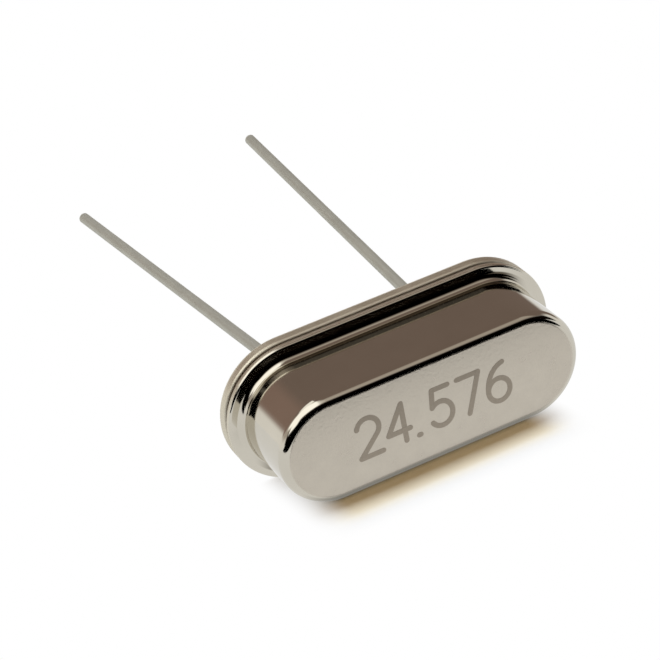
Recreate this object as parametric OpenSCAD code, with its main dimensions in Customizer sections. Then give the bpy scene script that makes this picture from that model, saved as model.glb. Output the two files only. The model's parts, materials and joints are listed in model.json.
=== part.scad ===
// Quartz crystal in a low welded can with two wire leads, lying on its side as it comes to rest.
// Lengths are in millimetres and angles in degrees. Each piece is drawn as it stands on a board,
// with X along the package, Z out of the board and the board at Z = 0, and is then laid down.

/* [Can] */
// Outside length of the can's wall
can_l = 10.06; // [9.6:0.02:11]
// Outside width of the can's wall
can_w = 3.61; // [3.5:0.01:4.2]
// Height of the can's flat top above the board
height = 3.58; // [3.4:0.01:4.5]
// Thickness of the drawn sheet
sheet = 0.25; // [0.2:0.01:0.28]
// Inside radius of the edge around the flat top
top_inner_r = 0.05; // [0.02:0.01:0.3]
// Radius of the hollow between the wall and the flange
neck_r = 0.23; // [0.12:0.01:0.28]
// Reach of the flange beyond the wall
flange_reach = 0.49; // [0.4:0.01:0.6]
// Radius along the flange's outer edges
flange_edge_r = 0.1; // [0.05:0.01:0.1]

/* [Base] */
// Thickness of the base at the weld ridge
base_t = 0.6; // [0.5:0.01:0.8]
// Reach of the base beyond the can's flange
base_lip = 0; // [0:0.01:0.1]
// Radius along the base's lower edge
base_edge_r = 0.25; // [0.1:0.01:0.3]
// Radius along the base's upper edge
seam_edge_r = 0.1; // [0.04:0.01:0.14]
// Gap between the two flanges outside the weld ridge
weld_gap = 0.1; // [0.05:0.01:0.2]
// Setback of the weld ridge from the base's edge
ridge_inset = 0.15; // [0.1:0.01:0.2]
// Rise of the base's middle inside the can
plug_h = 0.4; // [0.3:0.01:0.6]
// Clearance between the risen middle and the can's wall
plug_gap = 0.06; // [0.03:0.01:0.12]

/* [Glass seals] */
// Diameter of a glass bead and of its hole in the base
bead_d = 1.2; // [1:0.05:1.5]
// Setback of the glass from the base's faces
bead_setback = 0.06; // [0.03:0.01:0.1]
// Depth of the hollow in the glass between the wire and the hole
meniscus = 0.06; // [0.03:0.01:0.1]

/* [Leads] */
// Spacing of the two leads at the base
lead_pitch = 4.88; // [4.6:0.01:5.2]
// Diameter of the wire
lead_d = 0.38; // [0.3:0.01:0.5]
// Length of wire below the base
lead_l = 17; // [12:0.5:20]
// Straight length below the base before the bend
lead_exit = 0.15; // [0.1:0.01:0.5]
// Radius of the bend along the wire's middle
lead_bend_r = 0.6; // [0.4:0.05:1.5]
// Chamfer around the cut tip
tip_chamfer = 0.04; // [0.02:0.01:0.08]
// Angle of the left lead away from the middle
left_splay = 4.1; // [0.5:0.1:10]
// Angle of the left lead across the package
left_lift = -1.7; // [-3:0.1:3]
// Angle of the right lead away from the middle
right_splay = 2.7; // [0.5:0.1:10]
// Angle of the right lead across the package
right_lift = 0.4; // [-3:0.1:3]
// Diameter of the flattened head inside the can
head_d = 0.76; // [0.6:0.02:0.9]
// Thickness of that head
head_t = 0.15; // [0.1:0.01:0.2]
// Gap between the head and the base's risen middle
head_gap = 0.05; // [0.03:0.01:0.1]

/* [Clips] */
// Thickness of the clip's strip, and the inside radius of its fold
clip_t = 0.1; // [0.08:0.01:0.12]
// Width of the strip
clip_w = 1.6; // [1.3:0.05:1.8]
// Height of the upright leaf, from the underside of the foot
clip_h = 1.45; // [1.2:0.05:1.6]
// Clearance in the slot on each face of the blank
slot_gap = 0.03; // [0.02:0.01:0.06]

/* [Quartz blank] */
// Thickness of the blank
blank_t = 0.21; // [0.15:0.01:0.3]
// Space between the blank's ends and the can
blank_end_gap = 0.75; // [0.6:0.05:1]
// Space between the blank and the can's top
blank_top_gap = 0.18; // [0.1:0.01:0.3]
// Space between the blank and the clips' feet
blank_foot_gap = 0.1; // [0.05:0.01:0.2]
// Length of the blank that passes a clip
blank_bite = 0.3; // [0.2:0.05:0.4]

/* [Electrodes and cement] */
// Thickness of the metal film
film_t = 0.02; // [0.01:0.005:0.03]
// Length of the film's field
film_l = 3.6; // [2.5:0.1:4.5]
// Bare margin above and below that field
film_margin = 0.25; // [0.15:0.01:0.35]
// Width of the tab that runs from the field to one end
tab_w = 0.5; // [0.3:0.05:0.6]
// Cover of the cement past the blank's end
cement_cover = 0.12; // [0.08:0.01:0.2]

/* [Hidden] */
$fn = 96;
overrun = 0.1;

// Most of a plate's thickness that one rounded edge may take
edge_limit_share = 0.45;
base_limit_share = 0.6;
seam_limit_share = 0.35;

// Least width of the flange that stands on the weld ridge
ridge_bite = 0.05;

// The can and its flange, as radii of the round ends on one pair of centres
can_r = can_w / 2;
top_r = sheet + top_inner_r;
flange_round = min(flange_edge_r, edge_limit_share * sheet);
flange_r = can_r + flange_reach;
base_r = flange_r + base_lip;
ridge_r = max(base_r - ridge_inset, can_r + neck_r + ridge_bite);
rim_t = base_t - weld_gap;
base_round = min(base_edge_r, base_limit_share * rim_t);
seam_round = min(seam_edge_r, seam_limit_share * rim_t);
end_spacing = can_l - can_w;

// Levels above the board
flange_top = base_t + sheet;
plug_top = base_t + plug_h;
head_bottom = plug_top + head_gap;
foot_bottom = head_bottom + head_t;
blank_bottom = foot_bottom + clip_t + blank_foot_gap;
blank_top = height - sheet - blank_top_gap;
clip_top = foot_bottom + clip_h;
cement_z = (blank_bottom + clip_top) / 2;

// Places along the package
lead_x = lead_pitch / 2;
blank_l = can_l - 2 * sheet - 2 * blank_end_gap;
clip_outer_x = blank_l / 2 - blank_bite;
clip_foot_x = lead_x - head_d / 2;

// The leads' bends: how far each wire turns, and towards which side
function bend_angle(splay, lift) = atan(norm([tan(splay), tan(lift)]));
function bend_heading(splay, lift) = atan2(tan(lift), tan(splay));
function bend_length(angle) = lead_bend_r * angle * PI / 180;
function free_length(angle) = lead_l - lead_exit - bend_length(angle);
function tip_offset(angle) = lead_bend_r * (1 - cos(angle)) + free_length(angle) * sin(angle);
function tip_depth(angle) = lead_exit + lead_bend_r * sin(angle) + free_length(angle) * cos(angle);

// The rest pose: the floor touches the rounded edge of the top and the edge of a flange.
// A rounded edge is given as [distance from the middle, level, radius].
top_edge = [can_r - top_r, height - top_r, top_r];
flange_edge = [flange_r - flange_round, flange_top - flange_round, flange_round];
base_edge = [base_r - seam_round, rim_t - seam_round, seam_round];
function tilt_over(edge) =
    atan2(edge[0] - top_edge[0], top_edge[1] - edge[1])
    - asin((top_edge[2] - edge[2]) / norm([edge[0] - top_edge[0], top_edge[1] - edge[1]]));
rest_tilt = max(tilt_over(flange_edge), tilt_over(base_edge));
rest_z = top_edge[0] * cos(rest_tilt) + top_edge[1] * sin(rest_tilt) + top_edge[2];
front_y = top_edge[0] * sin(rest_tilt) + top_edge[1] * cos(rest_tilt) + top_edge[2];
function tip_y(splay, lift) =
    let (angle = bend_angle(splay, lift), across = tip_offset(angle) * sin(bend_heading(splay, lift)))
    tip_depth(angle) * cos(rest_tilt) - across * sin(rest_tilt);
back_y = max(tip_y(left_splay, left_lift), tip_y(right_splay, right_lift));

metal = [0.66, 0.64, 0.58];
wire_metal = [0.6, 0.59, 0.54];
glass = [0.12, 0.16, 0.18];
strip_metal = [0.74, 0.71, 0.62];
quartz = [0.86, 0.89, 0.9];
film_metal = [0.8, 0.8, 0.81];
cement = [0.5, 0.5, 0.5];

// Lays a piece down on its side, with the leads towards +Y and the origin under the box's middle
module at_rest() {
    translate([0, (front_y - back_y) / 2, rest_z]) rotate([90 + rest_tilt, 0, 0]) children();
}

// Sweeps a half section, drawn to the right of the axis, around the round-ended outline
module round_ended() {
    rotate([90, 0, 90]) linear_extrude(end_spacing, center = true)
        for (side = [0, 1]) mirror([side, 0]) children();
    for (side = [-1, 1]) translate([side * end_spacing / 2, 0, 0])
        rotate([0, 0, -90 * side]) rotate_extrude(angle = 180) children();
}

// Quarter of a ring, from 0 to 90 degrees about its centre
module quarter_ring(outer, inner) {
    intersection() {
        difference() {
            circle(outer);
            circle(inner);
        }
        square(outer);
    }
}

// Plate's half section from the inner radius to a rounded rim
module rimmed_plate(inner, outer, thick, low_r, high_r) {
    translate([inner, 0]) square([outer - low_r - inner, thick - high_r]);
    translate([inner, 0]) square([outer - high_r - inner, thick]);
    translate([inner, low_r]) square([outer - inner, thick - low_r - high_r]);
    translate([outer - low_r, low_r]) circle(low_r);
    translate([outer - high_r, thick - high_r]) circle(high_r);
}

// The drawn sheet's half section: flat top, edge, wall, hollow neck and flange
module can_section() {
    bend_top = flange_top + neck_r;
    translate([0, height - sheet]) square([can_r - top_r, sheet]);
    translate([can_r - top_r, height - top_r]) quarter_ring(top_r, top_inner_r);
    translate([can_r - sheet, bend_top]) square([sheet, height - top_r - bend_top]);
    translate([can_r + neck_r, bend_top]) rotate(180) quarter_ring(neck_r + sheet, neck_r);
    translate([0, base_t])
        rimmed_plate(can_r + neck_r, flange_r, sheet, flange_round, flange_round);
}

module can() {
    color(metal) at_rest() round_ended() can_section();
}

module base_section() {
    rimmed_plate(0, base_r, rim_t, base_round, seam_round);
    square([ridge_r, base_t]);
    square([can_r - sheet - plug_gap, plug_top]);
}

module base() {
    color(metal) at_rest() difference() {
        round_ended() base_section();
        for (side = [-1, 1]) translate([side * lead_x, 0, -overrun])
            cylinder(d = bead_d, h = plug_top + 2 * overrun);
    }
}

// Half section of a bead, hollowed at both ends where the glass climbs the wire and the hole
module bead_section() {
    span = (bead_d - lead_d) / 2;
    arc_r = (span * span / 4 + meniscus * meniscus) / (2 * meniscus);
    depth = plug_top - 2 * bead_setback;
    difference() {
        translate([lead_d / 2, bead_setback]) square([span, depth]);
        for (level = [bead_setback + meniscus - arc_r, plug_top - bead_setback - meniscus + arc_r])
            translate([lead_d / 2 + span / 2, level]) circle(arc_r);
    }
}

module glass_bead(side) {
    color(glass) at_rest() translate([side * lead_x, 0, 0]) rotate_extrude() bead_section();
}

module glass_bead_left() { glass_bead(-1); }
module glass_bead_right() { glass_bead(1); }

// Wire with a flattened head, straight through the glass, bent once and cut off
module lead(side, splay, lift) {
    angle = bend_angle(splay, lift);
    length = free_length(angle);
    color(wire_metal) at_rest() translate([side * lead_x, 0, 0]) {
        translate([0, 0, head_bottom]) cylinder(d = head_d, h = head_t);
        translate([0, 0, -lead_exit]) cylinder(d = lead_d, h = head_bottom + lead_exit);
        mirror([side < 0 ? 1 : 0, 0, 0]) rotate([0, 0, bend_heading(splay, lift)])
            translate([lead_bend_r, 0, -lead_exit]) {
                rotate([90, 0, 0]) rotate([0, 0, 180]) rotate_extrude(angle = angle)
                    translate([lead_bend_r, 0]) circle(d = lead_d);
                rotate([0, -angle, 0]) translate([-lead_bend_r, 0, -length]) {
                    translate([0, 0, tip_chamfer]) cylinder(d = lead_d, h = length - tip_chamfer);
                    cylinder(d1 = lead_d - 2 * tip_chamfer, d2 = lead_d, h = tip_chamfer);
                }
            }
    }
}

module lead_left() { lead(-1, left_splay, left_lift); }
module lead_right() { lead(1, right_splay, right_lift); }

// Side view of a clip: a foot on the lead's head, folded up into a leaf
module clip_profile() {
    fold_r = 2 * clip_t;
    translate([clip_foot_x, foot_bottom]) square([clip_outer_x - fold_r - clip_foot_x, clip_t]);
    translate([clip_outer_x - fold_r, foot_bottom + fold_r]) mirror([0, 1])
        quarter_ring(fold_r, fold_r - clip_t);
    translate([clip_outer_x - clip_t, foot_bottom + fold_r]) square([clip_t, clip_h - fold_r]);
}

// The clip's leaf is slotted from the top, and the blank stands on the bottom of the slot
module clip(side) {
    slot_w = blank_t + 2 * film_t + 2 * slot_gap;
    color(strip_metal) at_rest() mirror([side < 0 ? 1 : 0, 0, 0]) difference() {
        rotate([90, 0, 0]) linear_extrude(clip_w, center = true) clip_profile();
        translate([clip_outer_x - clip_t - overrun, -slot_w / 2, blank_bottom])
            cube([clip_t + 2 * overrun, slot_w, clip_top - blank_bottom + overrun]);
    }
}

module clip_left() { clip(-1); }
module clip_right() { clip(1); }

module blank_shape() {
    translate([-blank_l / 2, -blank_t / 2, blank_bottom])
        cube([blank_l, blank_t, blank_top - blank_bottom]);
}

module quartz_blank() {
    color(quartz) at_rest() blank_shape();
}

// Film on the front face: a field in the middle and a tab to the left end
module film_shape() {
    translate([-film_l / 2, blank_t / 2, blank_bottom + film_margin])
        cube([film_l, film_t, blank_top - blank_bottom - 2 * film_margin]);
    translate([-blank_l / 2, blank_t / 2, cement_z - tab_w / 2])
        cube([(blank_l - film_l) / 2, film_t, tab_w]);
}

module electrode_front() {
    color(film_metal) at_rest() film_shape();
}

module electrode_back() {
    color(film_metal) at_rest() rotate([0, 0, 180]) film_shape();
}

// Dome of conductive cement on a clip's leaf, over the blank's end and the film's tab
module cement_shape() {
    dome_r = blank_bite + cement_cover;
    difference() {
        translate([-clip_outer_x, 0, cement_z]) rotate([0, -90, 0]) rotate_extrude() intersection() {
            circle(dome_r);
            square(dome_r);
        }
        blank_shape();
        film_shape();
    }
}

module cement_left() {
    color(cement) at_rest() cement_shape();
}

module cement_right() {
    color(cement) at_rest() rotate([0, 0, 180]) cement_shape();
}

can();
base();
glass_bead_left();
glass_bead_right();
lead_left();
lead_right();
clip_left();
clip_right();
quartz_blank();
electrode_front();
electrode_back();
cement_left();
cement_right();
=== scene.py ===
"""Quartz crystal in a low welded can with two wire leads, lying on its side on a pale floor.

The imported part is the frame. The pieces that show are built again as fine meshes of the same form,
because bright metal shows every facet. Lengths are in metres. Names that end in _DEG hold degrees, and
names that end in _MM hold millimetres.
"""
import json
import math

import bpy
from mathutils import Matrix, Vector
from mathutils.geometry import tessellate_polygon


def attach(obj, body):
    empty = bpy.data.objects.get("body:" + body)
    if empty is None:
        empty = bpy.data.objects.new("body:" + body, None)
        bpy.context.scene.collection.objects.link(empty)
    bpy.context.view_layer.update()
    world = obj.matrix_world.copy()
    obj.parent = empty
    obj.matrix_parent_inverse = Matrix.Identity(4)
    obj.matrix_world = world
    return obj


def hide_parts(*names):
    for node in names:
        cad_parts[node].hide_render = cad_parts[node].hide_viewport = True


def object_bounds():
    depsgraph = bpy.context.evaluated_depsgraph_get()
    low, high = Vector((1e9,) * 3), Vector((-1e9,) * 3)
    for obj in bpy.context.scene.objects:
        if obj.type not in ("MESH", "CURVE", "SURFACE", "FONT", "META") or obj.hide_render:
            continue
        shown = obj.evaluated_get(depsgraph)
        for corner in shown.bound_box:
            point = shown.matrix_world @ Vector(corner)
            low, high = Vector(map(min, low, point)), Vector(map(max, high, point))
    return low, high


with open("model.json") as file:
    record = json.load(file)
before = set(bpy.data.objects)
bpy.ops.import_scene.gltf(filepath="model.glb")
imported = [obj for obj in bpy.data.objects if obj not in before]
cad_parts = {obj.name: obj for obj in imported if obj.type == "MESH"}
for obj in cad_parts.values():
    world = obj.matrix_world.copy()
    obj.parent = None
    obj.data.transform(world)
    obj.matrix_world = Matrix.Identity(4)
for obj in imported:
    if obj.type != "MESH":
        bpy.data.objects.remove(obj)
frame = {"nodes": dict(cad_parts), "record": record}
cad_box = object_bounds()

MM = 0.001

# The can
CAN_L = 10.06 * MM
CAN_W = 3.61 * MM
HEIGHT = 3.58 * MM
SHEET = 0.25 * MM
TOP_INNER_R = 0.05 * MM
NECK_R = 0.23 * MM
FLANGE_REACH = 0.49 * MM
FLANGE_EDGE_R = 0.1 * MM
FLANGE_SLOPE_DEG = 1.5

# The base
BASE_T = 0.6 * MM
BASE_EDGE_R = 0.25 * MM
SEAM_EDGE_R = 0.1 * MM
WELD_GAP = 0.1 * MM
RIDGE_INSET = 0.15 * MM
PLUG_H = 0.4 * MM
PLUG_GAP = 0.06 * MM

# The glass beads
BEAD_R = 0.6 * MM
BEAD_SETBACK = 0.06 * MM
MENISCUS = 0.06 * MM

# The leads
LEAD_X = 2.44 * MM
LEAD_L = 17 * MM
LEAD_EXIT = 0.15 * MM
LEAD_BEND_R = 0.6 * MM
TIP_CHAMFER = 0.04 * MM
HEAD_R = 0.38 * MM
HEAD_T = 0.15 * MM
HEAD_GAP = 0.05 * MM

# Sizes that follow from these
CAN_R = CAN_W / 2
HALF_SPACING = (CAN_L - CAN_W) / 2
TOP_R = SHEET + TOP_INNER_R
FLANGE_R = CAN_R + FLANGE_REACH
FLANGE_TOP = BASE_T + SHEET
BASE_R = FLANGE_R
RIDGE_R = BASE_R - RIDGE_INSET
RIM_T = BASE_T - WELD_GAP
PLUG_R = CAN_R - SHEET - PLUG_GAP
PLUG_TOP = BASE_T + PLUG_H
HEAD_BOTTOM = PLUG_TOP + HEAD_GAP

# How finely curves are cut
ARC_STEPS = 14
END_STEPS = 96
WIRE_STEPS = 48
BEND_STEPS = 10
BOW_STEPS = 20
CAP_STEPS = 8

UP = Vector((0, 0, 1))

# The crystal's own frame: X along the can, Z from the seat to the can's flat top
mounts = {m["name"]: m for m in frame["record"]["mounts"]}
seat = Vector(mounts["seat"]["pos_m"])
out_of_board = -Vector(mounts["seat"]["axis"]).normalized()
along_can = Vector((1, 0, 0))
across_can = out_of_board.cross(along_can)
CRYSTAL = Matrix.Translation(seat) @ Matrix((along_can, across_can, out_of_board)).transposed().to_4x4()


# Profiles: each strip is a list of (point, normal) pairs in the plane of radius and height

def arc(centre, radius, start_deg, end_deg, hollow=False):
    """A round stretch, whose normals point at the centre where it is hollow."""
    strip = []
    for i in range(ARC_STEPS + 1):
        angle = math.radians(start_deg + (end_deg - start_deg) * i / ARC_STEPS)
        out = Vector((math.cos(angle), math.sin(angle)))
        strip.append((Vector(centre) + radius * out, -out if hollow else out))
    return strip


def line(start, end):
    """A straight stretch, which faces the right of its direction."""
    along = (Vector(end) - Vector(start)).normalized()
    normal = Vector((along.y, -along.x))
    return [(Vector(start), normal), (Vector(end), normal)]


def can_profile():
    """The drawn sheet, from the inner face of its top out to the flange and back up to the top."""
    edge = (CAN_R - TOP_R, HEIGHT - TOP_R)
    rim_x = FLANGE_R - FLANGE_EDGE_R
    low, high = BASE_T + FLANGE_EDGE_R, FLANGE_TOP - FLANGE_EDGE_R
    slope = math.radians(FLANGE_SLOPE_DEG)
    facing = Vector((math.sin(slope), math.cos(slope)))
    outer = Vector((rim_x, high)) + FLANGE_EDGE_R * facing
    inner_x = CAN_R + NECK_R * (1 - facing.x)
    inner = Vector((inner_x, outer.y + (outer.x - inner_x) * math.tan(slope)))
    neck = inner + NECK_R * facing
    return [
        arc(edge, TOP_INNER_R, 90, 0, hollow=True),
        line((CAN_R - SHEET, edge[1]), (CAN_R - SHEET, BASE_T + NECK_R + SHEET)),
        arc((neck[0], BASE_T + NECK_R + SHEET), NECK_R + SHEET, 180, 270),
        line((neck[0], BASE_T), (rim_x, BASE_T)),
        arc((rim_x, low), FLANGE_EDGE_R, 270, 360),
        line((FLANGE_R, low), (FLANGE_R, high)),
        arc((rim_x, high), FLANGE_EDGE_R, 0, 90 - FLANGE_SLOPE_DEG),
        line(outer, inner),
        arc(neck, NECK_R, 270 - FLANGE_SLOPE_DEG, 180, hollow=True),
        line((CAN_R, neck[1]), (CAN_R, edge[1])),
        arc(edge, TOP_R, 0, 90),
    ]


def base_profile():
    """The stamped base, from its underside round the rim and over the weld ridge to its risen middle."""
    low, high = BASE_EDGE_R, RIM_T - SEAM_EDGE_R
    return [
        arc((BASE_R - BASE_EDGE_R, low), BASE_EDGE_R, 270, 360),
        line((BASE_R, low), (BASE_R, high)),
        arc((BASE_R - SEAM_EDGE_R, high), SEAM_EDGE_R, 0, 90),
        line((BASE_R - SEAM_EDGE_R, RIM_T), (RIDGE_R, RIM_T)),
        line((RIDGE_R, RIM_T), (RIDGE_R, BASE_T)),
        line((RIDGE_R, BASE_T), (PLUG_R, BASE_T)),
        line((PLUG_R, BASE_T), (PLUG_R, PLUG_TOP)),
    ]


def bead_profile(wire_r):
    """A bead between the wire and its hole, hollowed where the glass climbs them."""
    half = (BEAD_R - wire_r) / 2
    middle = wire_r + half
    radius = (half * half + MENISCUS * MENISCUS) / (2 * MENISCUS)
    reach_deg = math.degrees(math.asin(half / radius))
    low, high = BEAD_SETBACK, PLUG_TOP - BEAD_SETBACK
    below = (middle, low + MENISCUS - radius)
    above = (middle, high - MENISCUS + radius)
    return [
        arc(below, radius, 90 + reach_deg, 90 - reach_deg, hollow=True),
        line((BEAD_R, low), (BEAD_R, high)),
        arc(above, radius, 270 + reach_deg, 270 - reach_deg, hollow=True),
        line((wire_r, high), (wire_r, low)),
    ]


# Paths: closed lists of (origin, outward direction) pairs in the crystal's frame

def circle_path(centre, steps):
    """Round a circle: one origin, and directions all round it."""
    angles = [2 * math.pi * i / steps for i in range(steps)]
    return [(centre, Vector((math.cos(a), math.sin(a), 0))) for a in angles]


def round_ended_path():
    """Round both ends of the can, with its straight sides between them."""
    path = []
    for side in (1, -1):
        start = -math.pi / 2 if side > 0 else math.pi / 2
        for i in range(END_STEPS + 1):
            angle = start + math.pi * i / END_STEPS
            outward = Vector((math.cos(angle), math.sin(angle), 0))
            path.append((Vector((side * HALF_SPACING, 0, 0)), outward))
    return path


def add_object(name, data):
    """A new object in the scene, for a mesh, a camera or a lamp."""
    made = bpy.data.objects.new(name, data)
    bpy.context.collection.objects.link(made)
    return made


class MeshParts:
    """Collects points and faces, with a normal for each corner of each face."""

    def __init__(self):
        self.points = []
        self.faces = []
        self.normals = []

    def add_points(self, points):
        """Gives the new points' numbers."""
        first = len(self.points)
        self.points.extend(points)
        return list(range(first, len(self.points)))

    def add_face(self, corners, normals):
        self.faces.append(corners)
        self.normals.extend(normals)

    def add_cap(self, loop, normal, holes=()):
        """A flat face inside a loop that runs anticlockwise as seen from above, round any holes."""
        loops = [loop, *holes]
        if not holes:
            corners = loop if normal.z > 0 else loop[::-1]
            self.add_face(corners, [normal] * len(corners))
            return
        every = [corner for one in loops for corner in one]
        for triple in tessellate_polygon([[self.points[i] for i in one] for one in loops]):
            corners = [every[i] for i in triple]
            a, b, c = (self.points[i] for i in corners)
            if (b - a).cross(c - a).dot(normal) < 0:
                corners.reverse()
            self.add_face(corners, [normal] * 3)

    def build(self, name, place):
        """One smooth object, with its points moved from the crystal's frame to their place."""
        mesh = bpy.data.meshes.new(name)
        mesh.from_pydata([place @ point for point in self.points], [], self.faces)
        mesh.polygons.foreach_set("use_smooth", [True] * len(self.faces))
        turn = place.to_3x3()
        mesh.normals_split_custom_set([(turn @ n).normalized() for n in self.normals])
        return add_object(name, mesh)


def add_sweep(parts, strips, path, closed=False):
    """Sweeps a profile round a closed path, and gives each profile point's loop of corners."""
    profile = [strips[0][0][0]] + [point for strip in strips for point, _ in strip[1:]]
    if closed:
        profile.pop()
    loops = [parts.add_points([o + p.x * side + p.y * UP for o, side in path]) for p in profile]
    k = 0
    for strip in strips:
        for (_, normal_a), (_, normal_b) in zip(strip, strip[1:]):
            low, high = loops[k], loops[(k + 1) % len(loops)]
            k += 1
            for i in range(len(path)):
                j = (i + 1) % len(path)
                corners = [low[i], low[j], high[j], high[i]]
                pairs = ((normal_a, i), (normal_a, j), (normal_b, j), (normal_b, i))
                normals = [n.x * path[at][1] + n.y * UP for n, at in pairs]
                parts.add_face(corners, normals)
    return loops


def build_can():
    """The shell, closed by the two faces of its flat top."""
    parts = MeshParts()
    loops = add_sweep(parts, can_profile(), round_ended_path())
    parts.add_cap(loops[0], -UP)
    parts.add_cap(loops[-1], UP)
    return parts.build("can_shell", CRYSTAL)


def build_base():
    """The base, with a hole for each bead."""
    parts = MeshParts()
    loops = add_sweep(parts, base_profile(), round_ended_path())
    holes = []
    for side in (-1, 1):
        path = circle_path(Vector((side * LEAD_X, 0, 0)), WIRE_STEPS)
        holes.append(add_sweep(parts, [line((BEAD_R, PLUG_TOP), (BEAD_R, 0))], path))
    parts.add_cap(loops[0], -UP, [hole[1] for hole in holes])
    parts.add_cap(loops[-1], UP, [hole[0] for hole in holes])
    return parts.build("base_header", CRYSTAL)


def build_bead(side_name, side, wire_r):
    """One ring of glass round a lead."""
    parts = MeshParts()
    path = circle_path(Vector((side * LEAD_X, 0, 0)), WIRE_STEPS)
    add_sweep(parts, bead_profile(wire_r), path, closed=True)
    return parts.build("seal_" + side_name, CRYSTAL)


def build_lead(side_name, side, wire_r):
    """The wire, from its head inside the can, through the glass and one bend, to its cut tip."""
    free = CRYSTAL.inverted().to_3x3() @ Vector(mounts["lead_" + side_name]["axis"]).normalized()
    bend = math.acos(-free.z)
    sideways = Vector((free.x, free.y, 0)).normalized()
    across = (-UP).cross(sideways)
    axis = Vector((side * LEAD_X, 0, 0))

    def at(angle, beyond=0.0):
        """A ring's centre and directions after part of the bend, and a length beyond it."""
        along = math.sin(angle) * sideways - math.cos(angle) * UP
        turn = math.cos(angle) * sideways + math.sin(angle) * UP
        centre = axis - LEAD_EXIT * UP + LEAD_BEND_R * (sideways - turn) + beyond * along
        return centre, turn, along

    free_length = LEAD_L - LEAD_EXIT - LEAD_BEND_R * bend
    head_top = -LEAD_EXIT - HEAD_BOTTOM - HEAD_T
    head_low = -LEAD_EXIT - HEAD_BOTTOM
    # Each strip: rings as (angle, length beyond, radius), and the normal's outward and onward shares
    strips = [
        ([(0, head_top, HEAD_R), (0, head_low, HEAD_R)], (1, 0)),
        ([(0, head_low, HEAD_R), (0, head_low, wire_r)], (0, 1)),
        ([(0, head_low, wire_r), (0, 0, wire_r)], (1, 0)),
        ([(bend * i / BEND_STEPS, 0, wire_r) for i in range(BEND_STEPS + 1)], (1, 0)),
        ([(bend, 0, wire_r), (bend, free_length - TIP_CHAMFER, wire_r)], (1, 0)),
        ([(bend, free_length - TIP_CHAMFER, wire_r), (bend, free_length, wire_r - TIP_CHAMFER)], (1, 1)),
    ]
    parts = MeshParts()
    turns = [2 * math.pi * i / WIRE_STEPS for i in range(WIRE_STEPS)]

    def spokes(turn):
        """The directions from a ring's centre to its points."""
        return [math.cos(t) * turn + math.sin(t) * across for t in turns]

    def ring(angle, beyond, radius):
        centre, turn, _ = at(angle, beyond)
        return parts.add_points([centre + radius * spoke for spoke in spokes(turn)])

    def ring_normals(angle, share):
        _, turn, along = at(angle)
        return [share[0] * spoke + share[1] * along for spoke in spokes(turn)]

    first = last = ring(*strips[0][0][0])
    for rings, share in strips:
        for start, end in zip(rings, rings[1:]):
            loop = ring(*end)
            normals_a, normals_b = ring_normals(start[0], share), ring_normals(end[0], share)
            for i in range(WIRE_STEPS):
                j = (i + 1) % WIRE_STEPS
                corners = [last[i], last[j], loop[j], loop[i]]
                parts.add_face(corners, [normals_a[i], normals_a[j], normals_b[j], normals_b[i]])
            last = loop
    parts.add_face(first[::-1], [UP] * WIRE_STEPS)
    parts.add_face(last, [at(bend)[2]] * WIRE_STEPS)
    return parts.build("wire_" + side_name, CRYSTAL)


can = build_can()
base = build_base()
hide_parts("can")
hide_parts("base")
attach(can, "root")
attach(base, "root")
for side_name, side in (("left", -1), ("right", 1)):
    wire_r = mounts["lead_" + side_name]["dims"]["r_mm"] * MM
    seal = build_bead(side_name, side, wire_r)
    wire = build_lead(side_name, side, wire_r)
    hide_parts("glass_bead_" + side_name)
    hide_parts("lead_" + side_name)
    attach(seal, "root")
    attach(wire, "root")


# The marking: a plain number in round-ended strokes, on a grid one glyph high

MARK_HEIGHT = 1.3 * MM
MARK_STROKE = 0.17 * MM
MARK_PITCH = 0.97 * MM
MARK_POINT_PITCH = 0.5 * MM
MARK_RELIEF = 0.004 * MM
MARK_STEP = 0.001 * MM
MARK_SINK = 0.002 * MM
GLYPH_W = 0.56


def bow(centre, radii, start_deg, end_deg):
    """Points along part of an ellipse."""
    shares = [i / BOW_STEPS for i in range(BOW_STEPS + 1)]
    angles = [math.radians(start_deg + (end_deg - start_deg) * share) for share in shares]
    return [(centre[0] + radii[0] * math.cos(a), centre[1] + radii[1] * math.sin(a)) for a in angles]


GLYPHS = {
    "2": [bow((0.28, 0.71), (0.28, 0.29), 165, -38) + [(0.0, 0.0)], [(0.0, 0.0), (GLYPH_W, 0.0)]],
    "4": [[(0.42, 0.0), (0.42, 1.0)], [(0.42, 1.0), (0.0, 0.29)], [(0.0, 0.29), (GLYPH_W, 0.29)]],
    "5": [[(0.5, 1.0), (0.09, 1.0)], [(0.09, 1.0), (0.04, 0.54)],
          bow((0.25, 0.32), (0.29, 0.32), 136, -148)],
    "6": [bow((0.28, 0.3), (0.28, 0.3), 0, 180), bow((0.28, 0.3), (0.28, 0.3), 180, 360),
          bow((0.52, 0.3), (0.52, 0.7), 98, 180)],
    "7": [[(0.0, 1.0), (GLYPH_W, 1.0)], [(GLYPH_W, 1.0), (0.2, 0.0)]],
    ".": [[(0.0, 0.0), (0.04, 0.0)]],
}
MARK = "24.576"


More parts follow.
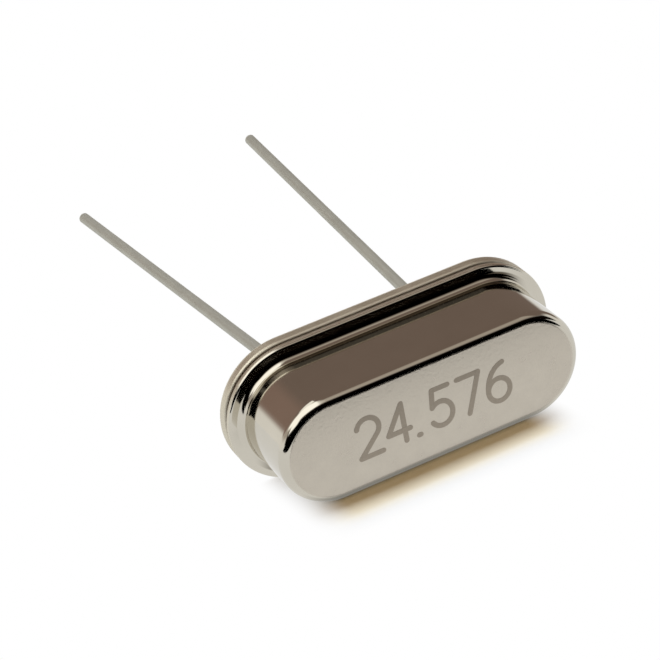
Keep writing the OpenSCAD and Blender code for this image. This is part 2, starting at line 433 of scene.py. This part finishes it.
def add_stroke(parts, points, relief):
    """A flat ribbon with round ends along a smooth line of points on the can's flat top."""
    half = MARK_STROKE / 2
    left, right = [], []
    for i, point in enumerate(points):
        along = (points[min(i + 1, len(points) - 1)] - points[max(i - 1, 0)]).normalized()
        aside = half * Vector((-along.y, along.x))
        left.append(point + aside)
        right.append(point - aside)

    def cap(centre, start):
        """The points of a half circle, turned anticlockwise from one edge of the ribbon."""
        arm = start - centre
        turns = [math.pi * i / CAP_STEPS for i in range(1, CAP_STEPS)]
        return [centre + Matrix.Rotation(t, 2) @ arm for t in turns]

    outline = right + cap(points[-1], right[-1]) + left[::-1] + cap(points[0], left[0])
    top = parts.add_points([Vector((p.x, p.y, HEIGHT + relief)) for p in outline])
    low = parts.add_points([Vector((p.x, p.y, HEIGHT - MARK_SINK)) for p in outline])
    count, bends, ends = len(outline), len(points), CAP_STEPS - 1
    for i in range(bends - 1):
        across = [i, i + 1, 2 * bends + ends - 2 - i, 2 * bends + ends - 1 - i]
        parts.add_face([top[k] for k in across], [UP] * 4)
        parts.add_face([low[k] for k in across[::-1]], [-UP] * 4)
    first_cap = list(range(bends - 1, bends + ends + 1))
    last_cap = list(range(2 * bends + ends - 1, count)) + [0]
    for rim in (first_cap, last_cap):
        parts.add_face([top[k] for k in rim], [UP] * len(rim))
        parts.add_face([low[k] for k in rim[::-1]], [-UP] * len(rim))
    for i in range(count):
        j = (i + 1) % count
        edge = outline[j] - outline[i]
        side = Vector((edge.y, -edge.x, 0)).normalized()
        parts.add_face([low[i], low[j], top[j], top[i]], [side] * 4)


def build_marking():
    """The number's strokes, each a little higher than the last, so that no two tops share a plane."""
    parts = MeshParts()
    pitches = [MARK_POINT_PITCH if glyph == "." else MARK_PITCH for glyph in MARK]
    last_width = GLYPH_W * MARK_HEIGHT
    x = -(sum(pitches[:-1]) + last_width) / 2
    for glyph, pitch in zip(MARK, pitches):
        for layer, stroke in enumerate(GLYPHS[glyph]):
            points = [Vector((x + MARK_HEIGHT * u, MARK_HEIGHT * (v - 0.5))) for u, v in stroke]
            add_stroke(parts, points, MARK_RELIEF + layer * MARK_STEP)
        x += pitch
    return parts.build("face_number", CRYSTAL)


marking = build_marking()
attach(marking, "root")


# Node trees

# The sockets of a Mix node that take and give colours
MIX_INPUTS = {"Factor": 0, "A": 6, "B": 7}
MIX_OUTPUT = 2

# The range that most of a noise pattern lies in
NOISE_SPAN = (0.3, 0.7)


def add_node(tree, kind, values=None, **settings):
    """Adds a node. A value that is another node's socket is linked, and any other is set."""
    made = tree.nodes.new(kind)
    for key, value in settings.items():
        setattr(made, key, value)
    for key, value in (values or {}).items():
        if isinstance(value, bpy.types.NodeSocket):
            tree.links.new(value, made.inputs[key])
        else:
            made.inputs[key].default_value = value
    return made


def calc(tree, operation, a, b=0.0):
    """One step of arithmetic."""
    return add_node(tree, "ShaderNodeMath", {0: a, 1: b}, operation=operation).outputs[0]


def ramp(tree, value, start, end, to_start=0.0, to_end=1.0, smooth=False):
    """Maps one range of a value to another, and stops at its ends."""
    sizes = {"Value": value, "From Min": start, "From Max": end, "To Min": to_start, "To Max": to_end}
    kind = "SMOOTHSTEP" if smooth else "LINEAR"
    return add_node(tree, "ShaderNodeMapRange", sizes, interpolation_type=kind).outputs["Result"]


def rise(tree, value, start, end):
    """Zero up to the start, growing smoothly to one at the end."""
    return ramp(tree, value, start, end, smooth=True)


def fall(tree, value, start, end):
    """One up to the start, falling smoothly to zero at the end."""
    return ramp(tree, value, start, end, 1.0, 0.0, smooth=True)


def window(tree, value, limits, soft):
    """One inside the limits, falling to zero over a soft edge."""
    low, high = limits
    inside = rise(tree, value, low - soft, low + soft), fall(tree, value, high - soft, high + soft)
    return calc(tree, "MULTIPLY", *inside)


def mix(tree, share, colour_a, colour_b):
    """One colour, turning into another as the share goes from zero to one."""
    made = tree.nodes.new("ShaderNodeMix")
    made.data_type = "RGBA"
    for key, value in {"Factor": share, "A": colour_a, "B": colour_b}.items():
        socket = made.inputs[MIX_INPUTS[key]]
        if isinstance(value, bpy.types.NodeSocket):
            tree.links.new(value, socket)
        else:
            socket.default_value = value if key == "Factor" else (*value, 1)
    return made.outputs[MIX_OUTPUT]


def between(tree, share, a, b):
    """One value, turning into another as the share goes from zero to one."""
    return calc(tree, "ADD", a, calc(tree, "MULTIPLY", share, calc(tree, "SUBTRACT", b, a)))


def new_material(name):
    """A material with its tree, and its shader."""
    material = bpy.data.materials.new(name)
    material.use_nodes = True
    return material, material.node_tree, material.node_tree.nodes["Principled BSDF"]


def crystal_millimetres(tree, stretch=(1, 1, 1)):
    """A point's place in the crystal's own frame, in millimetres, then stretched."""
    place = add_node(tree, "ShaderNodeTexCoord").outputs["Object"]
    own = add_node(tree, "ShaderNodeMapping", {"Vector": place}, vector_type="TEXTURE")
    own.inputs["Location"].default_value = CRYSTAL.to_translation()
    own.inputs["Rotation"].default_value = CRYSTAL.to_euler()
    own.inputs["Scale"].default_value = (MM, MM, MM)
    scaled = {"Vector": own.outputs["Vector"], "Scale": stretch}
    return add_node(tree, "ShaderNodeMapping", scaled).outputs["Vector"]


def noise(tree, vector, scale, detail=2.0, roughness=0.5):
    """A cloudy pattern from zero to one."""
    values = {"Vector": vector, "Scale": scale, "Detail": detail, "Roughness": roughness}
    return add_node(tree, "ShaderNodeTexNoise", values).outputs["Fac"]


def add_bump(tree, shader, height, depth):
    """Bump whose full height is a depth in metres."""
    bump = add_node(tree, "ShaderNodeBump", {"Height": height, "Distance": depth, "Strength": 1.0})
    tree.links.new(bump.outputs["Normal"], shader.inputs["Normal"])


def vary(tree, pattern, low, high):
    """A value that follows a noise pattern from low to high."""
    return ramp(tree, pattern, *NOISE_SPAN, low, high)


def set_finish(tree, shader, colour, roughness, metallic=0.0):
    """Takes a shader's colour and roughness from patterns, and sets its share of metal."""
    tree.links.new(colour, shader.inputs["Base Color"])
    tree.links.new(roughness, shader.inputs["Roughness"])
    shader.inputs["Metallic"].default_value = metallic


# Materials

# Colours, in pairs that a pattern mixes
BRIGHT_NICKEL = ((0.60, 0.565, 0.485), (0.68, 0.645, 0.56))
SATIN_NICKEL = ((0.515, 0.47, 0.40), (0.695, 0.64, 0.545))
STAMPED_NICKEL = ((0.74, 0.695, 0.57), (0.82, 0.775, 0.65))
ETCHED_NICKEL = ((0.29, 0.25, 0.20), (0.48, 0.42, 0.345))
TIN = ((0.45, 0.45, 0.40), (0.57, 0.57, 0.505))
GLASS = ((0.018, 0.03, 0.032), (0.05, 0.075, 0.078))
NICKEL_SILVER = ((0.66, 0.63, 0.54), (0.78, 0.75, 0.66))
QUARTZ = ((0.82, 0.86, 0.88), (0.92, 0.94, 0.95))
SILVER = ((0.76, 0.76, 0.76), (0.86, 0.86, 0.85))
CEMENT = ((0.56, 0.56, 0.55), (0.36, 0.36, 0.35))

# How far below the flat top its satin finish and its grain begin, on the rounded edge
SATIN_DEPTH_MM = 0.010
GRAIN_DEPTH_MM = 0.003

# The relief of the grain, and of the lines that the draw leaves
GRAIN_RELIEF_MM = 0.009
LINE_RELIEF_MM = 0.0003

# The flange's cut edge is paler and duller, and ends between these depths below the flange's top
CUT_EDGE_COLOUR = (0.78, 0.735, 0.61)
CUT_EDGE_ROUGHNESS = 0.45
CUT_EDGE_DEPTHS_MM = (0.08, 0.03)

# Painted shade in the groove of the welded seam: on the can it fades out between these heights above the
# weld, and on the base at the top of the rim
SEAM_SHADE_COLOUR = (0.26, 0.20, 0.145)
CAN_SEAM_SHADE_HEIGHTS_MM = (0.05, 0.13)
BASE_SEAM_SHADE_SOFT_MM = 0.02

# Painted shade in the corner between wall and flange: its reach outside the wall, and how far past the
# centres of the round ends it fades out
NECK_SHADE_COLOUR = (0.11, 0.09, 0.065)
NECK_SHADE_REACH_MM = (0.08, 0.26)
NECK_SHADE_SOFT_MM = 0.025
NECK_SHADE_END_MM = (0.9, 1.75)


def neck_painted_shade(tree, axes):
    """The share of painted shade in the corner between wall and flange, along the can's two long sides."""
    along = calc(tree, "SUBTRACT", calc(tree, "ABSOLUTE", axes["X"]), HALF_SPACING / MM)
    past_centre = calc(tree, "MAXIMUM", along, 0.0)
    squares = [calc(tree, "MULTIPLY", value, value) for value in (past_centre, axes["Y"])]
    beyond_wall = calc(tree, "SUBTRACT", calc(tree, "SQRT", calc(tree, "ADD", *squares)), CAN_R / MM)
    in_corner = window(tree, beyond_wall, NECK_SHADE_REACH_MM, NECK_SHADE_SOFT_MM)
    return calc(tree, "MULTIPLY", in_corner, fall(tree, past_centre, *NECK_SHADE_END_MM))


def can_nickel(name):
    """Plated sheet: nearly a mirror, with faint lines along the draw, and satin on the flat top."""
    material, tree, shader = new_material(name)
    place = crystal_millimetres(tree)
    lines = noise(tree, crystal_millimetres(tree, stretch=(9, 9, 0.5)), scale=1.0, detail=4.0)
    haze = noise(tree, place, scale=0.9, detail=3.0)
    grain = noise(tree, place, scale=11.0, detail=3.0, roughness=0.65)
    mottle = noise(tree, place, scale=1.6, detail=6.0, roughness=0.65)
    axes = add_node(tree, "ShaderNodeSeparateXYZ", {"Vector": place}).outputs
    height = axes["Z"]
    top = HEIGHT / MM
    satin = rise(tree, height, top - SATIN_DEPTH_MM, top)
    grainy = rise(tree, height, top - GRAIN_DEPTH_MM, top)
    cut_edge = fall(tree, height, *[FLANGE_TOP / MM - depth for depth in CUT_EDGE_DEPTHS_MM])
    seam_shade = fall(tree, height, *[BASE_T / MM + above for above in CAN_SEAM_SHADE_HEIGHTS_MM])

    colour = mix(tree, cut_edge, mix(tree, haze, *BRIGHT_NICKEL), CUT_EDGE_COLOUR)
    colour = mix(tree, satin, colour, mix(tree, mottle, *SATIN_NICKEL))
    # Painted shade: the corner between wall and flange is darkened in the colour
    colour = mix(tree, neck_painted_shade(tree, axes), colour, NECK_SHADE_COLOUR)
    # Painted shade in the groove of the welded seam
    colour = mix(tree, seam_shade, colour, SEAM_SHADE_COLOUR)
    bright_rough = between(tree, cut_edge, vary(tree, lines, low=0.05, high=0.11), CUT_EDGE_ROUGHNESS)
    satin_rough = vary(tree, mottle, low=0.26, high=0.36)
    set_finish(tree, shader, colour, between(tree, satin, bright_rough, satin_rough), metallic=1)

    line_relief = calc(tree, "MULTIPLY", lines, LINE_RELIEF_MM)
    grain_relief = calc(tree, "MULTIPLY", grain, GRAIN_RELIEF_MM)
    add_bump(tree, shader, between(tree, grainy, line_relief, grain_relief), depth=MM)
    return material


def stamped_nickel(name):
    """The base: plated after it is stamped, so softer in its mirroring than the can."""
    material, tree, shader = new_material(name)
    place = crystal_millimetres(tree)
    pits = noise(tree, place, scale=14.0, detail=4.0, roughness=0.6)
    haze = noise(tree, place, scale=1.1, detail=3.0)
    height = add_node(tree, "ShaderNodeSeparateXYZ", {"Vector": place}).outputs["Z"]
    seam_shade = rise(tree, height, RIM_T / MM - BASE_SEAM_SHADE_SOFT_MM, RIM_T / MM + BASE_SEAM_SHADE_SOFT_MM)
    # Painted shade in the groove of the welded seam, at the top of the rim
    colour = mix(tree, seam_shade, mix(tree, haze, *STAMPED_NICKEL), SEAM_SHADE_COLOUR)
    set_finish(tree, shader, colour, vary(tree, haze, low=0.42, high=0.54), metallic=1)
    add_bump(tree, shader, pits, depth=0.002 * MM)
    return material


def etched_nickel(name):
    """The number's strokes, burnt a little darker and duller, and uneven."""
    material, tree, shader = new_material(name)
    spots = noise(tree, crystal_millimetres(tree), scale=9.0, detail=3.0, roughness=0.6)
    colour = mix(tree, spots, *ETCHED_NICKEL)
    set_finish(tree, shader, colour, vary(tree, spots, low=0.4, high=0.55), metallic=1)
    add_bump(tree, shader, spots, depth=0.004 * MM)
    return material


def tinned_wire(name):
    """Dip-tinned wire: dull, with streaks along it."""
    material, tree, shader = new_material(name)
    streaks = noise(tree, crystal_millimetres(tree, stretch=(14, 14, 0.7)), scale=1.0, detail=3.0)
    cloud = noise(tree, crystal_millimetres(tree), scale=1.3, detail=3.0)
    colour = mix(tree, cloud, *TIN)
    set_finish(tree, shader, colour, vary(tree, streaks, low=0.42, high=0.6), metallic=0.55)
    add_bump(tree, shader, streaks, depth=0.004 * MM)
    return material


def sealing_glass(name):
    """Dark fused glass with small bubbles near its skin."""
    material, tree, shader = new_material(name)
    place = crystal_millimetres(tree)
    bubbles = add_node(tree, "ShaderNodeTexVoronoi", {"Vector": place, "Scale": 11.0})
    cloud = noise(tree, place, scale=4.0, detail=3.0)
    set_finish(tree, shader, mix(tree, cloud, *GLASS), vary(tree, cloud, low=0.06, high=0.16))
    add_bump(tree, shader, ramp(tree, bubbles.outputs["Distance"], start=0.0, end=0.2), depth=0.004 * MM)
    shader.inputs["IOR"].default_value = 1.52
    return material


def strip_metal(name):
    """Rolled strip, with lines along the roll."""
    material, tree, shader = new_material(name)
    lines = noise(tree, crystal_millimetres(tree, stretch=(0.6, 18, 18)), scale=1.0, detail=3.0)
    colour = mix(tree, lines, *NICKEL_SILVER)
    set_finish(tree, shader, colour, vary(tree, lines, low=0.24, high=0.4), metallic=1)
    return material


def lapped_quartz(name):
    """Clear quartz with ground faces."""
    material, tree, shader = new_material(name)
    grain = noise(tree, crystal_millimetres(tree), scale=30.0)
    set_finish(tree, shader, mix(tree, grain, *QUARTZ), vary(tree, grain, low=0.25, high=0.45))
    add_bump(tree, shader, grain, depth=0.002 * MM)
    shader.inputs["Transmission Weight"].default_value = 0.8
    shader.inputs["IOR"].default_value = 1.544
    return material


def silver_film(name):
    """Evaporated film, which takes the grain of the quartz under it."""
    material, tree, shader = new_material(name)
    grain = noise(tree, crystal_millimetres(tree), scale=30.0)
    colour = mix(tree, grain, *SILVER)
    set_finish(tree, shader, colour, vary(tree, grain, low=0.2, high=0.34), metallic=1)
    return material


def silver_cement(name):
    """Resin full of silver flakes."""
    material, tree, shader = new_material(name)
    place = crystal_millimetres(tree)
    flakes = add_node(tree, "ShaderNodeTexVoronoi", {"Vector": place, "Scale": 24.0})
    share = ramp(tree, flakes.outputs["Distance"], start=0.1, end=0.7)
    rough = ramp(tree, share, 0.0, 1.0, to_start=0.35, to_end=0.6)
    set_finish(tree, shader, mix(tree, share, *CEMENT), rough, metallic=0.5)
    return material


def dress(piece, material):
    """Gives a piece its one material."""
    slots = piece.data.materials
    if slots:
        slots[0] = material
    else:
        slots.append(material)


wire_tin = tinned_wire("tinned_wire")
seal_glass = sealing_glass("sealing_glass")
strip = strip_metal("clip_strip")
film = silver_film("silver_film")
cement = silver_cement("silver_cement")
dress(can, can_nickel("can_nickel"))
dress(base, stamped_nickel("stamped_nickel"))
dress(marking, etched_nickel("etched_nickel"))
dress(frame["nodes"]["quartz_blank"], lapped_quartz("lapped_quartz"))
for face in ("front", "back"):
    dress(frame["nodes"]["electrode_" + face], film)
for side_name in ("left", "right"):
    dress(bpy.data.objects["wire_" + side_name], wire_tin)
    dress(bpy.data.objects["seal_" + side_name], seal_glass)
    dress(frame["nodes"]["clip_" + side_name], strip)
    dress(frame["nodes"]["cement_" + side_name], cement)


# The camera, as the photograph's view of the crystal, with lens and sensor in millimetres

EYE = Vector((-22.558, -69.985, 28.539)) * MM
VIEW_AZIMUTH_DEG = 18.502
VIEW_ELEVATION_DEG = 20.171
VIEW_ROLL_DEG = 15.483
LENS = 127.83
SENSOR = 36
CLIP_START = 1 * MM
CLIP_END = 10


def add_camera():
    """A level camera, turned to the crystal, then tipped down and rolled."""
    camera = add_object("camera", bpy.data.cameras.new("camera"))
    camera.data.lens = LENS
    camera.data.sensor_width = SENSOR
    camera.data.clip_start = CLIP_START
    camera.data.clip_end = CLIP_END
    level = Matrix.Rotation(math.radians(-VIEW_AZIMUTH_DEG), 4, "Z")
    tip = Matrix.Rotation(math.radians(90 - VIEW_ELEVATION_DEG), 4, "X")
    roll = Matrix.Rotation(math.radians(-VIEW_ROLL_DEG), 4, "Z")
    camera.matrix_world = Matrix.Translation(EYE) @ level @ tip @ roll
    bpy.context.scene.camera = camera


# The studio. Its directions are degrees to the right of -Y, which the flat top faces, and above the floor

FLOOR_SIZE = 2.0
FLOOR_WHITE = (0.93, 0.93, 0.93)

# The even light that dull surfaces get from the room, and the lamp
AMBIENT = (0.34, 0.24, 0.12)
KEY_DIRECTION_DEG = (180, 86.5)
KEY_DISTANCE = 0.5
KEY_SIZE = (1.0, 0.15)
KEY_RADIANCE = 7.13
KEY_COLOUR = (0.77, 0.874, 1.0)

# How bright the floor glows where the metal mirrors it, and the shade painted into that glow close to the
# can
MIRRORED_GLOW = 0.86
SHADE_START = 0.45 * MM
SHADE_END = 1.2 * MM
SHADE_SOFT = 0.15 * MM
SHADE_SHARE = 0.62

# A warm gleam from the can, painted into the floor's colour before it
PAINTED_GLEAM_COLOUR = (0.93, 0.83, 0.64)
GLEAM_REACH = 0.9 * MM
GLEAM_SOFT = 0.6 * MM
GLEAM_END = 1.4 * MM

# Round the can the floor shows its shadow, and further off it is white to the eye
SHADOW_SIDES = (-4.1 * MM, 3.6 * MM)
SHADOW_FRONT = 1.3 * MM
SHADOW_BACK = 4.6 * MM
SHADOW_SOFT = 0.8 * MM

# The black card before the crystal
FLAG_START = 4.5 * MM
FLAG_REACH = 90 * MM
FLAG_RISE = 20 * MM
FLAG_NEAR_SIDES = (-30 * MM, 13 * MM)
FLAG_FAR_SIDES = (-90 * MM, 90 * MM)

# Colours of the room
WHITE = (1, 1, 1)
BACKDROP_WHITE = (0.910, 0.895, 0.870)
BROWN = (0.200, 0.150, 0.127)
RUSSET = (0.275, 0.192, 0.160)
DRAB = (0.480, 0.425, 0.375)
PALE = (0.780, 0.740, 0.680)
BLACK = (0.004, 0.002, 0.001)
SOFT_LIGHT = (1.200, 1.180, 1.120)
LIGHT = (1.500, 1.480, 1.430)

# What the bright metal mirrors: colour, range to the side, range of height, and how soft the edges are.
# A later zone lies over the earlier ones
ZONES_DEG = [
    (BROWN, (-190, 190), (24, 100), 7),
    (RUSSET, (-165, -115), (12, 50), 12),
    (DRAB, (-10, 58), (30, 58), 6),
    (BACKDROP_WHITE, (-175, -112), (-20, 15), 4),
    (DRAB, (-112, -60), (14, 60), 7),
    (BLACK, (-72, 74), (-100, 26), 5),
    (SOFT_LIGHT, (-190, 7), (60, 86), 5),
    (PALE, (-96, 18), (34, 78), 9),
    (LIGHT, (-96, 7), (31, 80), 5),
    (LIGHT, (-64, -31), (16, 54), 5),
    (BROWN, (100, 152), (4, 40), 5),
]


def direction(side_deg, height_deg):
    """A unit vector towards a direction of the studio."""
    side, height = math.radians(side_deg), math.radians(height_deg)
    level = Vector((math.sin(side), -math.cos(side), 0))
    return math.cos(height) * level + math.sin(height) * UP


def ray_kinds(tree):
    """Shares that are one for rays from the camera, and for rays that metal or glass sends on."""
    path = add_node(tree, "ShaderNodeLightPath").outputs
    mirrored = calc(tree, "MAXIMUM", path["Is Glossy Ray"], path["Is Transmission Ray"])
    return path["Is Camera Ray"], mirrored


def build_world():
    """White to the eye, zones of a room to metal and glass, and an even soft light to the rest."""
    world = bpy.data.worlds.new("studio")
    world.use_nodes = True
    world.cycles.sampling_method = "NONE"
    tree = world.node_tree
    ray = add_node(tree, "ShaderNodeTexCoord").outputs["Generated"]
    axes = add_node(tree, "ShaderNodeSeparateXYZ", {"Vector": ray}).outputs
    height = calc(tree, "DEGREES", calc(tree, "ARCSINE", axes["Z"]))
    ahead = calc(tree, "MULTIPLY", axes["Y"], -1.0)
    side = calc(tree, "DEGREES", calc(tree, "ARCTAN2", axes["X"], ahead))
    room = BACKDROP_WHITE
    for colour, sides, heights, soft in ZONES_DEG:
        inside = window(tree, side, sides, soft), window(tree, height, heights, soft)
        room = mix(tree, calc(tree, "MULTIPLY", *inside), room, colour)
    eye, mirrored = ray_kinds(tree)
    shown = mix(tree, eye, mix(tree, mirrored, AMBIENT, room), WHITE)
    tree.links.new(shown, tree.nodes["Background"].inputs["Color"])
    bpy.context.scene.world = world


def build_floor():
    """Lit and shaded round the can, glowing white further off and where the metal mirrors it, with painted
    gleam and shade by the nose.
    """
    bpy.ops.mesh.primitive_plane_add(size=FLOOR_SIZE)
    floor = bpy.context.object
    floor.name = "floor"
    material, tree, shader = new_material("floor_white")
    shader.inputs["Roughness"].default_value = 1
    shader.inputs["Specular IOR Level"].default_value = 0
    eye, mirrored = ray_kinds(tree)
    place = add_node(tree, "ShaderNodeTexCoord").outputs["Object"]
    axes = add_node(tree, "ShaderNodeSeparateXYZ", {"Vector": place}).outputs
    nose = cad_box[0].y
    beside = window(tree, axes["X"], SHADOW_SIDES, SHADOW_SOFT)

    def near_nose(start, end, soft):
        """The share of a stretch of floor as wide as the shadow, between two distances behind the nose."""
        along = window(tree, axes["Y"], (nose + start, nose + end), soft)
        return calc(tree, "MULTIPLY", along, beside)

    # Painted light: the floor's colour turns warm before the can, as if a gleam from it fell there
    painted_gleam = near_nose(-GLEAM_REACH, GLEAM_END, GLEAM_SOFT)
    tree.links.new(mix(tree, painted_gleam, FLOOR_WHITE, PAINTED_GLEAM_COLOUR), shader.inputs["Base Color"])
    away = calc(tree, "SUBTRACT", 1.0, near_nose(-SHADOW_FRONT, SHADOW_BACK, SHADOW_SOFT))
    # Painted shade: the glow that the metal mirrors is dimmed close to the can
    shade = calc(tree, "MULTIPLY", near_nose(SHADE_START, SHADE_END, SHADE_SOFT), SHADE_SHARE)
    lit = calc(tree, "SUBTRACT", 1.0, shade)
    strength = between(tree, mirrored, 1.0, calc(tree, "MULTIPLY", lit, MIRRORED_GLOW))
    share = calc(tree, "ADD", calc(tree, "MULTIPLY", eye, away), mirrored)
    glow = add_node(tree, "ShaderNodeEmission", {"Strength": strength}).outputs["Emission"]
    both = add_node(tree, "ShaderNodeMixShader", {0: share, 1: shader.outputs["BSDF"], 2: glow})
    tree.links.new(both.outputs["Shader"], tree.nodes["Material Output"].inputs["Surface"])
    dress(floor, material)


def build_flag():
    """A black card before the crystal, which the camera doesn't see and the metal mirrors."""
    near = cad_box[0].y - FLAG_START
    far = near - FLAG_REACH
    far_edge = [(x, far, FLAG_RISE) for x in FLAG_FAR_SIDES]
    near_edge = [(x, near, 0) for x in reversed(FLAG_NEAR_SIDES)]
    mesh = bpy.data.meshes.new("flag")
    mesh.from_pydata(far_edge + near_edge, [], [(0, 1, 2, 3)])
    flag = add_object("flag", mesh)
    material, _, shader = new_material("flag_black")
    shader.inputs["Base Color"].default_value = (0, 0, 0, 1)
    shader.inputs["Specular IOR Level"].default_value = 0
    dress(flag, material)
    flag.visible_camera = False
    flag.visible_diffuse = False
    flag.visible_shadow = False


def add_key():
    """A soft light above, a little behind, that the metal doesn't mirror."""
    lamp = bpy.data.lights.new("key", "AREA")
    lamp.shape = "RECTANGLE"
    lamp.size, lamp.size_y = KEY_SIZE
    lamp.energy = KEY_RADIANCE * math.pi * KEY_SIZE[0] * KEY_SIZE[1]
    lamp.color = KEY_COLOUR
    key = add_object("key", lamp)
    towards = direction(*KEY_DIRECTION_DEG)
    key.location = KEY_DISTANCE * towards
    key.visible_glossy = False
    key.rotation_euler = towards.to_track_quat("Z", "Y").to_euler()


add_camera()
build_world()
build_floor()
build_flag()
add_key()
bpy.context.scene.view_settings.view_transform = "Standard"
